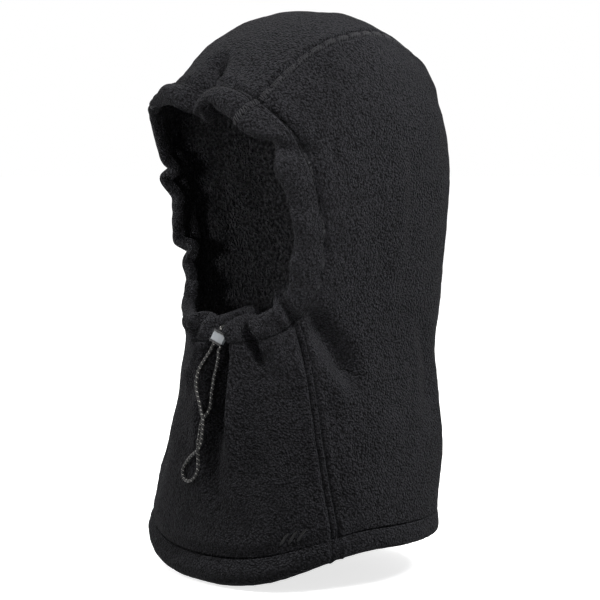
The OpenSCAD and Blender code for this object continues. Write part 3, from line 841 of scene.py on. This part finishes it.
def banded(surface, normals, shares, section):
    """Points of a section, as share and depth, at every row of a grid whose columns have shares."""
    q = np.clip(section[:, 0], 0, shares[-1])
    k = np.clip(np.searchsorted(shares, q) - 1, 0, len(shares) - 2)
    t = ((q - shares[k]) / (shares[k + 1] - shares[k]))[None, :, None]
    at = surface[:, k] * (1 - t) + surface[:, k + 1] * t
    n = unit(normals[:, k] * (1 - t) + normals[:, k + 1] * t)
    return at - n * section[:, 1][None, :, None]


def rim_surface(angles):
    """The finished tunnel's outer surface, its normals evened out along it, and its shares."""
    shares = np.linspace(0, 1, 41)
    plain = oval(*np.meshgrid(angles, shares, indexing="ij"))
    surface = placed(plain)
    soft = facing_out(grid_normals(surface, wrap_rows=True), plain)
    for _ in range(4):
        soft = unit(soft + np.roll(soft, 1, 0) + np.roll(soft, -1, 0))
    return surface, soft, shares


RIM_ANGLES = np.linspace(0, 360, 480, endpoint=False)
RIM_STEP = 360 / len(RIM_ANGLES)
RIM_SURFACE, RIM_NORMALS, RIM_SHARES = rim_surface(RIM_ANGLES)


def rim_ring(q, d):
    """Points of the finished tunnel all around the face, at a share of its width and a depth."""
    return banded(RIM_SURFACE, RIM_NORMALS, RIM_SHARES, np.array([[q, d]]))[:, 0]


def rim_point(a, q, d):
    ring = rim_ring(q, d)
    return np.array([np.interp(a, RIM_ANGLES, ring[:, k], period=360) for k in range(3)])


# Shares of the tunnel's width and depths of the looper threads on its inner side.
INNER_LOOPS = ((0.74, 8.0), (0.83, 7.1), (0.92, 6.3), (0.99, 5.9))
# The two buttonholes: angles from and to, and their shares of the tunnel's width.
HOLES = ((271.5, 274.0), (277.0, 279.5))
HOLE_Q = (0.5, 0.72)


def band_piece(name, rings, skins, cad_node, holes=()):
    """A closed hem from its rings of section points, of which the first skins are the outside."""
    rows, cols = rings.shape[:2]
    quads = grid_quads(rows, cols, True, True)
    col = np.arange(len(quads)) % cols
    inside = np.where((col == skins - 1) | (col == cols - 1), 2, col >= skins)
    a, b, c, _ = rings.reshape(-1, 3)[quads[5]]
    middle = rings[0].mean(0)
    if np.dot(np.cross(b - a, c - b), a - middle) < 0:
        quads = quads[:, ::-1]
    keep = np.ones(len(quads), bool)
    for i, j in holes:
        keep[i * cols + j] = False
    piece = mesh_piece(name, rings.reshape(-1, 3), quads[keep], [OUTSIDE, INSIDE_BRIGHTENED], inside[keep])
    return attach(piece, [cad_node])


def face_rim():
    skin_path, hollow = smooth_path(TUNNEL_SKIN, 5), smooth_path(TUNNEL_HOLLOW, 3)
    rings = banded(RIM_SURFACE, RIM_NORMALS, RIM_SHARES, np.vstack([skin_path, hollow]))
    open_cols = [j for j in range(20) if HOLE_Q[0] <= skin_path[j, 0] <= HOLE_Q[1]]
    open_cells = [
        (i, j) for low, high in HOLES for i in range(len(RIM_ANGLES))
        if low <= (i + 0.5) * RIM_STEP <= high for j in open_cols]
    piece = band_piece("face_rim", rings, len(skin_path), "face_hem", open_cells)


def neck_hem():
    shares = np.linspace(0, 1.15, 35)
    plain = skirt(*np.meshgrid(np.linspace(0, 360, 420, endpoint=False), shares * HEM_W, indexing="ij"))
    surface = placed(plain)
    normals = facing_out(grid_normals(surface, wrap_rows=True), plain)
    skin_path, hollow = smooth_path(HEM_SKIN, 5), smooth_path(HEM_HOLLOW, 2)
    rings = banded(surface, normals, shares, np.vstack([skin_path, hollow]))
    piece = band_piece("neck_hem", rings, len(skin_path), "bottom_hem")


# ---- stitches ----

def tube(line, radius, sides, ring=False):
    """Points and quads of a round tube along a line; radius may be a function of along and turn."""
    nxt, last = np.roll(line, -1, 0), np.roll(line, 1, 0)
    if not ring:
        nxt[-1], last[0] = line[-1], line[0]
    t = unit(nxt - last)
    u = unit(np.cross(t, np.array((0.1, 1, 0.05))))
    v = np.cross(t, u)
    turn = np.linspace(0, TURN, sides, endpoint=False)
    at = distance_along(line)
    r = np.asarray(radius(at[:, None], turn) if callable(radius) else radius)[..., None]
    points = line[:, None] + r * (
        np.cos(turn)[None, :, None] * u[:, None] + np.sin(turn)[None, :, None] * v[:, None])
    quads = grid_quads(len(line), sides, ring, True)
    return points.reshape(-1, 3), quads, at


def even_line(line, gap):
    """The same line at equal steps."""
    length = np.linalg.norm(np.diff(line, axis=0), axis=1).sum()
    return resample(line, np.linspace(0, 1, int(length / gap) + 2))


def thread_piece(name, parts, cad_nodes, material=THREAD):
    attach(mesh_piece(name, *joined(parts), [material]), cad_nodes)


def stitches(line, pitch=3.1, radius=0.38, ring=False, top=0.2):
    """Thread that dips into the cloth between stitches, along a line of the plain surface."""
    line = even_line(line, 0.62)
    if ring:
        line = line[:-1]
    lift = top - 0.75 * np.abs(np.cos(math.pi * distance_along(line) / pitch)) ** 6
    return tube(placed(line) + outward(line) * lift[:, None], radius, 5, ring)[:2]


def sideways(line):
    return unit(np.cross(unit(np.gradient(line, axis=0)), outward(line)))


def beside(line, gap):
    """A line of the plain surface at one side of a seam line."""
    return project(line + sideways(line) * gap)


def ladder(line, radius, top=0.2):
    """The looper thread that bars a cover-stitched seam from one needle line to the other."""
    line = even_line(line, 0.45)
    swing = np.clip(2.2 * np.sin(TURN * distance_along(line) / 2.8), -1, 1)
    bars = project(line + sideways(line) * (NEEDLE_GAP * swing)[:, None])
    return stitches(bars, 50, radius, top=top)


# ---- cords ----

# The lock's middle, its turns about x and y, and sizes of its bores, height and cord.
LOCK_AT = np.array((7.8, -80.5, 178.0))
LOCK_TURN = (math.radians(-21), math.radians(16))
BORE_HALF, LOCK_H, CORD_D = 3.8, 9.4, 2.4


def lock_point(p):
    """A point given in the lock's own axes."""
    s, c = math.sin(LOCK_TURN[0]), math.cos(LOCK_TURN[0])
    u, v = math.sin(LOCK_TURN[1]), math.cos(LOCK_TURN[1])
    x, y, z = p[0], c * p[1] - s * p[2], s * p[1] + c * p[2]
    return LOCK_AT + np.array((v * x + u * z, y, v * z - u * x))


def braid(at, turn):
    """The cord's radius, with the crossing strands of its braid."""
    weave = np.sin(4 * turn + TURN * at / 2.4) * np.sin(4 * turn - TURN * at / 2.4)
    return CORD_D / 2 - 0.06 + 0.07 * weave


def cord_piece(name, lines, cad_node, sides=16, gap=0.5, relief=True):
    """A cord through the points of each line, with its length in mm as the second of its UVs."""
    parts, uvs = [], []
    for line in lines:
        p, q, at = tube(even_line(smooth_path(line, 8), gap), braid if relief else CORD_D / 2, sides)
        row, col = q[:, 0] // sides, q[:, 0] % sides
        u = np.stack([col, col + 1, col + 1, col], -1) / sides
        uvs.append(np.stack([u, at[np.stack([row, row, row + 1, row + 1], -1)]], -1))
        parts.append((p, q))
    piece = mesh_piece(name, *joined(parts), [CORD], uv=np.concatenate(uvs))
    return attach(piece, [cad_node], None)


def tunnel_cord():
    """The cord inside the tunnel follows the middle of its hollow."""
    hollow = smooth_path(TUNNEL_HOLLOW, 3)
    lane = hollow[(hollow[:, 0] > 0.3) & (hollow[:, 0] < 0.8)]
    middle = banded(RIM_SURFACE, RIM_NORMALS, RIM_SHARES, lane).mean(1)
    eased = middle
    for _ in range(6):
        eased = (eased + np.roll(eased, 1, 0) + np.roll(eased, -1, 0)) / 3
    way = eased - middle
    middle = middle + way * np.minimum(1, 0.7 / np.linalg.norm(way, axis=1))[:, None]
    first, last = sum(HOLES[1]) / 2, sum(HOLES[0]) / 2
    turns = (np.arange(285, 625, 1.5) / RIM_STEP).astype(int) % len(RIM_ANGLES)
    line = [rim_point(first, 0.6, d) for d in (-1.6, 1.4)]
    line += [rim_point(first + 1, 0.6, 3.4), *middle[turns], rim_point(last + 359, 0.6, 3.4)]
    line += [rim_point(last, 0.6, d) for d in (1.4, -1.6)]
    piece = cord_piece("tunnel_drawcord", [line], "face_drawcord", 10, 1.5, False)
    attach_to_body(piece, "hood")


def strands():
    lines = []
    for side, (low, high) in zip((-1, 1), HOLES):
        hole = (low + high) / 2
        top = lock_point((side * BORE_HALF, 0, LOCK_H / 2 - 2))
        above = lock_point((side * BORE_HALF, 0, LOCK_H / 2 + 3))
        out, away = rim_point(hole, 0.6, -1.2), rim_point(hole, 0.6, -4.6)
        one = away * 0.65 + above * 0.35 + np.array((0, -1, 1))
        two = away * 0.3 + above * 0.7 + np.array((0, -0.6, 1))
        lines.append([out, away, one, two, above, top])
    piece = cord_piece("drawcord_strands", lines, "cord_strands")
    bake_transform(piece)


# The loop's line as it hangs, from the lock down and back up to it.
LOOP = [
    (-2, -84, 166), (-5.5, -85, 161), (-8, -86.5, 156.5), (-9.5, -88.5, 149), (-9.5, -89, 142),
    (-8, -89.5, 137), (-6, -89.5, 132), (-4.5, -89.5, 127), (-2, -90.5, 123.5), (0.5, -91.5, 120),
    (0, -91, 115), (-1, -91.5, 106), (-1, -93, 100), (-2, -95, 96), (-6.5, -94.5, 93.5),
    (-12, -93.5, 90), (-17, -92.5, 85.5), (-20.5, -92.5, 81), (-20.5, -93, 76), (-17, -94, 73),
    (-12, -94.5, 72.5), (-7.5, -94.5, 74.5), (-4.5, -94, 78.5), (-3, -93.5, 83), (-3.5, -93, 88),
    (-4, -92.5, 92.5), (-5, -91.5, 101), (-4.5, -91, 106), (-4, -89.5, 115), (-2.5, -88.5, 119.5),
    (-0.5, -86.5, 123), (0.5, -84.5, 127.5), (0.5, -83, 138), (1, -82, 144), (2, -82, 149),
    (4.5, -82, 155.5), (6.5, -82.5, 160.5), (9, -83.5, 166)]


def hanging_loop():
    route = [lock_point((-BORE_HALF, 0, z)) for z in (LOCK_H / 2, -LOCK_H / 2, -LOCK_H / 2 - 4)]
    route += LOOP + [lock_point((BORE_HALF, 0, z)) for z in (-LOCK_H / 2 - 4, -LOCK_H / 2, LOCK_H / 2)]
    piece = cord_piece("drawcord_hanging_loop", [route], "drawcord_loop")
    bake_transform(piece)


# ---- cord lock ----

def moulded(name, cad_node, body, material, width, segments):
    """A copy of a moulded CAD solid with softened edges."""
    piece = put_in_scene(name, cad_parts[cad_node].data.copy())
    piece.data.materials.clear()
    piece.data.materials.append(material)
    bevel = piece.modifiers.new("soft_edges", "BEVEL")
    bevel.width, bevel.segments = width * MM, segments
    bevel.limit_method, bevel.angle_limit = "ANGLE", math.radians(40)
    bevel.harden_normals = True
    attach(piece, [cad_node], body)


def spring_coil():
    """The spring behind the button, narrower at its stem."""
    front, back = 0.85, 2.8
    t = np.linspace(0, 1, 70)
    turn, r = TURN * 2.5 * t, 0.75 + 0.35 * t
    y = front + 0.2 + (back - front - 0.4) * t
    line = np.array([lock_point(p) for p in zip(r * np.cos(turn), y, r * np.sin(turn))])
    points, quads, _ = tube(line, 0.15, 8)
    piece = mesh_piece("coiled_spring", points, quads, [STEEL])
    attach(piece, ["lock_spring"], None)
    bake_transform(piece)


# ---- the whole object ----

def build_panels():
    side = side_grid()
    panel("crown_fleece", "crown_panel", crown_grid())
    panel("side_fleece_left", "side_panel_left", side)
    panel("side_fleece_right", "side_panel_right", side * MIRROR)
    panel("front_fleece", "front_panel", front_grid())


# The tunnel's skin swells outward, so thread that crosses it lies higher.
ON_TUNNEL = 0.68


def needle_rows(line, top=0.2):
    return [stitches(beside(line, gap), top=top) for gap in (-NEEDLE_GAP, NEEDLE_GAP)]


def build_seams():
    for name, flip in (("left", 1), ("right", MIRROR)):
        crown, front = LEFT_CROWN * flip, LEFT_FRONT * flip
        across = crown[1:TAIL + 1]
        rows = needle_rows(crown[TAIL:-3]) + needle_rows(across, ON_TUNNEL)
        thread_piece("crown_stitching_" + name, rows, ["crown_seam_thread_" + name])
        bars = [ladder(crown[TAIL:-4], 0.40), ladder(across, 0.36, ON_TUNNEL)]
        thread_piece("crown_ladder_" + name, bars, [], LOOPER)
        thread_piece("front_stitching_" + name, needle_rows(front[3:-1]), ["front_seam_thread_" + name])


def build_hem_stitches():
    """Two needle rows on each hem, and the loops of the face's stitches inside the hood."""
    turn = np.linspace(0, 360, 361)
    rows = [
        stitches(oval(turn, stitch_share(turn) - back), radius=0.45, ring=True)
        for back in (0.02, 0.15)]
    rows += [tube(rim_ring(q, d), 0.55, 5, True)[:2] for q, d in INNER_LOOPS]
    thread_piece("face_stitching", rows, ["face_hem_thread"])
    rows = [stitches(skirt(turn, h), ring=True, top=-0.55) for h in (HEM_W - 1.5, HEM_W - 4)]
    thread_piece("neck_stitching", rows, ["bottom_hem_thread"])


def buttonhole(name, low, high):
    """The worked edge of a buttonhole: close satin stitches around it."""
    middle, q_middle = (low + high) / 2, sum(HOLE_Q) / 2
    half_turn, half_q, thick, rib, pitch = 2.1, 0.15, 0.8, 0.12, 0.8
    ring = np.array([
        rim_point(middle + half_turn * math.cos(t), q_middle + half_q * math.sin(t), 0.1)
        for t in np.linspace(0, TURN, 120, endpoint=False)])
    ribbed = tube(ring, lambda at, around: thick + rib * np.cos(TURN * at / pitch), 8, True)
    thread_piece("worked_" + name, [ribbed[:2]], [name])


def satin_bars():
    """Three slanting satin-stitched bars low on the wearer's left."""
    parts = []
    for bar in range(3):
        up, across = np.meshgrid(np.linspace(0, 1, 60), np.linspace(-1, 1, 13), indexing="ij")
        width = 1.3 * np.sqrt(np.clip(1.02 - (2 * up - 1) ** 6, 0.02, 1))
        plain = bar_place(bar, up, width * across)
        dome = 1.25 * np.sqrt(1.05 - across ** 2) + 0.13 * np.cos(up * 60 + across)
        grid = placed(plain) + outward(plain) * (dome - 0.25)[..., None]
        parts.append(sheet_parts(grid, plain, 0.9)[:2])
    thread_piece("satin_bars", parts, ["embroidered_bars"], SATIN)


def label_piece():
    """The blank care label, sewn at its upper edge inside the back of the neck."""
    low, tall, half = 46, 32, 12.0
    up, across = np.meshgrid(np.linspace(0, 1, 40), np.linspace(-1, 1, 30), indexing="ij")
    h = low + tall * up
    plain = skirt(back_angle(-half * across, h), h)
    curl = 3.3 + 1.6 * (1 - up) ** 2 + 0.5 * (1 - up) * across ** 2
    grid = placed(plain) - outward(plain) * curl[..., None]
    points, quads, _ = sheet_parts(grid, plain, 0.4)
    piece = attach(mesh_piece("care_label_cloth", points, quads, [LABEL]), ["care_label"])


def make_camera():
    """The photograph's view; the aim's small shift frames the hood as the photograph does."""
    azimuth, elevation, far = math.radians(47), math.radians(5), 1.6
    shift_right, shift_down = 0.0041, 0.0199
    back = Vector((math.sin(azimuth) * math.cos(elevation),
                   -math.cos(azimuth) * math.cos(elevation), math.sin(elevation)))
    right = Vector((math.cos(azimuth), math.sin(azimuth), 0))
    look = Vector((0, 0, 0.22))
    data = bpy.data.cameras.new("camera")
    data.lens, data.sensor_width = 128, 36
    aim = look + shift_right * right - shift_down * back.cross(right)
    bpy.context.scene.camera = put_in_scene("camera", data, look + far * back, aim)


def area_light(name, place, size, power, aim):
    data = bpy.data.lights.new(name, "AREA")
    data.shape = "DISK"
    data.size, data.energy = size, power
    put_in_scene(name, data, place, aim)


def opening_spot(place, aim, radius, power):
    """A narrow spot that lights the inside of the hood through the face opening."""
    data = bpy.data.lights.new("opening", "SPOT")
    data.energy, data.spot_blend, data.shadow_soft_size = power, 0.7, 0.12
    data.spot_size = 2 * math.atan(radius / (Vector(aim) - Vector(place)).length)
    put_in_scene("opening", data, place, aim)


def make_backdrop():
    """A large white bowl that only the camera sees, so that the background is even."""
    far, turns, rises = 7000, 48, 14
    turn, rise = np.meshgrid(np.linspace(0, TURN, turns, endpoint=False),
                             np.linspace(-0.35, math.pi / 2 - 0.01, rises), indexing="ij")
    bowl = far * np.stack([np.cos(turn) * np.cos(rise), np.sin(turn) * np.cos(rise), np.sin(rise)], -1)
    m, tree = new_material("white_backdrop")
    tree.nodes.remove(tree.nodes["Principled BSDF"])
    glow = node(tree, "Emission", Strength=1.0)
    tree.links.new(glow.outputs[0], tree.nodes["Material Output"].inputs["Surface"])
    backdrop = mesh_piece("backdrop", bowl.reshape(-1, 3), grid_quads(turns, rises, True), [m])
    for rays in ("diffuse", "glossy", "transmission", "shadow"):
        setattr(backdrop, "visible_" + rays, False)


def make_floor():
    """A pale floor just below the hood, which glows softly so that its ground is even."""
    steps = np.linspace(-6500, 6500, 9)
    x, y = np.meshgrid(steps, steps, indexing="ij")
    low = cad_box[0].z / MM - 0.6
    m, tree = new_material("pale_floor")
    mottle = noise(tree, object_coords(tree), 9, rough=0.55)
    coated(tree, mottle, [(0.3, (0.9, 0.9, 0.9)), (0.7, (0.92, 0.92, 0.92))], {
        "Roughness": 0.9, "Emission Color": (1, 1, 1, 1), "Emission Strength": 0.75})
    points = np.stack([x, y, 0 * x + low], -1).reshape(-1, 3)
    floor = mesh_piece("floor", points, grid_quads(len(steps), len(steps)), [m])
    floor.visible_diffuse = False


def make_studio():
    world = bpy.data.worlds.new("studio")
    bpy.context.scene.world = world
    world.use_nodes = True
    tree = world.node_tree
    way = node(tree, "TexCoord").outputs["Generated"]
    split = node(tree, "SeparateXYZ", Vector=way)
    height = maths(tree, "ADD", maths(tree, "MULTIPLY", split.outputs["Z"], 0.5), 0.5)
    sky = ramp(tree, height, [
        (0.46, (0.02, 0.02, 0.02)), (0.54, (0.14, 0.14, 0.14)), (1.0, (0.6, 0.6, 0.6))])
    tree.links.new(sky, tree.nodes["Background"].inputs["Color"])
    area_light("key", (0.85, -0.12, 1.0), 0.4, 15, (0, 0, 0.32))
    area_light("fill", (-1.3, -0.85, 0.8), 0.5, 10.5, (0, 0, 0.28))
    area_light("back", (-1.2, 0.3, 1.3), 0.7, 8, (0, 0, 0.3))
    opening_spot((0.71, -1.3, 0.36), (-0.03, 0.0, 0.262), 0.075, 160)
    bpy.context.scene.view_settings.view_transform = "Standard"
    make_backdrop()
    make_floor()


make_camera()
make_studio()
build_panels()
face_rim()
neck_hem()
build_seams()
build_hem_stitches()
for hole_name, hole in zip(("buttonhole_left", "buttonhole_right"), reversed(HOLES)):
    buttonhole(hole_name, *hole)
satin_bars()
label_piece()
tunnel_cord()
strands()
hanging_loop()
moulded("moulded_lock", "lock_body", "cord_lock", LOCK_BLACK, 0.35, 3)
moulded("moulded_button", "lock_button", "button", BUTTON_PAINTED_REFLECTION, 0.7, 4)
spring_coil()
